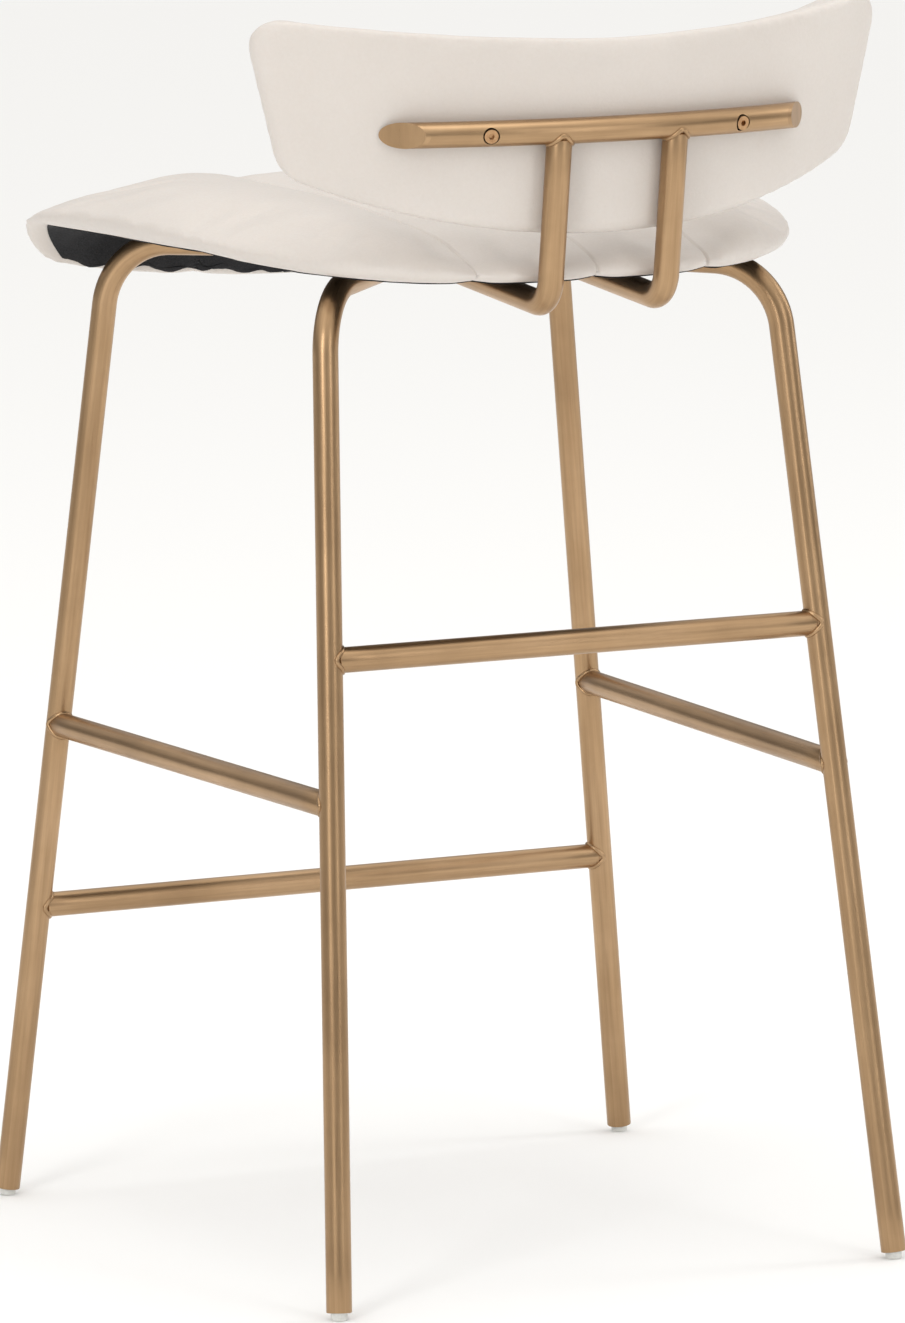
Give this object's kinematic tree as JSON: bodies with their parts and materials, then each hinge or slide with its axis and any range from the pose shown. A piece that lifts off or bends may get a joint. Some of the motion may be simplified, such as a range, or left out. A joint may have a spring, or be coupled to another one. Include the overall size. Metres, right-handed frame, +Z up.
{
  "type": "bar stool",
  "caption": "Bar stool with a low curved upholstered back on a cross bar, a padded saddle seat, splayed round tube legs, cross rails and a front footrest.",
  "frame": {"origin": "on the floor, below the middle of the overall box", "axes": "+Z up, the sitter faces -Y, +X is the sitter's left"},
  "size_m": [0.5504, 0.5657, 0.9469],
  "materials": {
    "brushed_brass": "antique brass plate, brushed along the tube and lacquered",
    "zinc_steel": "zinc plated",
    "bolt_bronze": "bronze plated socket screw",
    "nylon": "translucent nylon",
    "cream_leather": "smooth coated leather, satin",
    "black_cloth": "non-woven dust cloth",
    "plywood": "bent plywood, bare",
    "foam": "cut polyurethane foam"
  },
  "bodies": {
    "root": {"back_bar": "brushed_brass", "back_bolts": "bolt_bronze", "back_core": "plywood", "back_cover_front": "cream_leather", "back_cover_rear": "cream_leather", "back_foam": "foam", "back_padding": "foam", "back_support_left": "brushed_brass", "back_support_right": "brushed_brass", "back_t_nuts": "zinc_steel", "bar_end_caps": "brushed_brass", "bar_spacers": "zinc_steel", "dust_cover": "black_cloth", "foot_plugs": "zinc_steel", "footrest_bar": "brushed_brass", "glide_front_left": "nylon", "glide_front_right": "nylon", "glide_rear_left": "nylon", "glide_rear_right": "nylon", "leg_front_left": "brushed_brass", "leg_front_right": "brushed_brass", "leg_rear_left": "brushed_brass", "leg_rear_right": "brushed_brass", "mount_plate": "zinc_steel", "rail_welds": "brushed_brass", "rear_rail": "brushed_brass", "seat_board": "plywood", "seat_bolts": "zinc_steel", "seat_cover_centre_left": "cream_leather", "seat_cover_centre_right": "cream_leather", "seat_cover_wing_left": "cream_leather", "seat_cover_wing_right": "cream_leather", "seat_foam": "foam", "seat_t_nuts": "zinc_steel", "side_rail_left": "brushed_brass", "side_rail_right": "brushed_brass", "support_welds": "brushed_brass"}
  },
  "joints": []
}
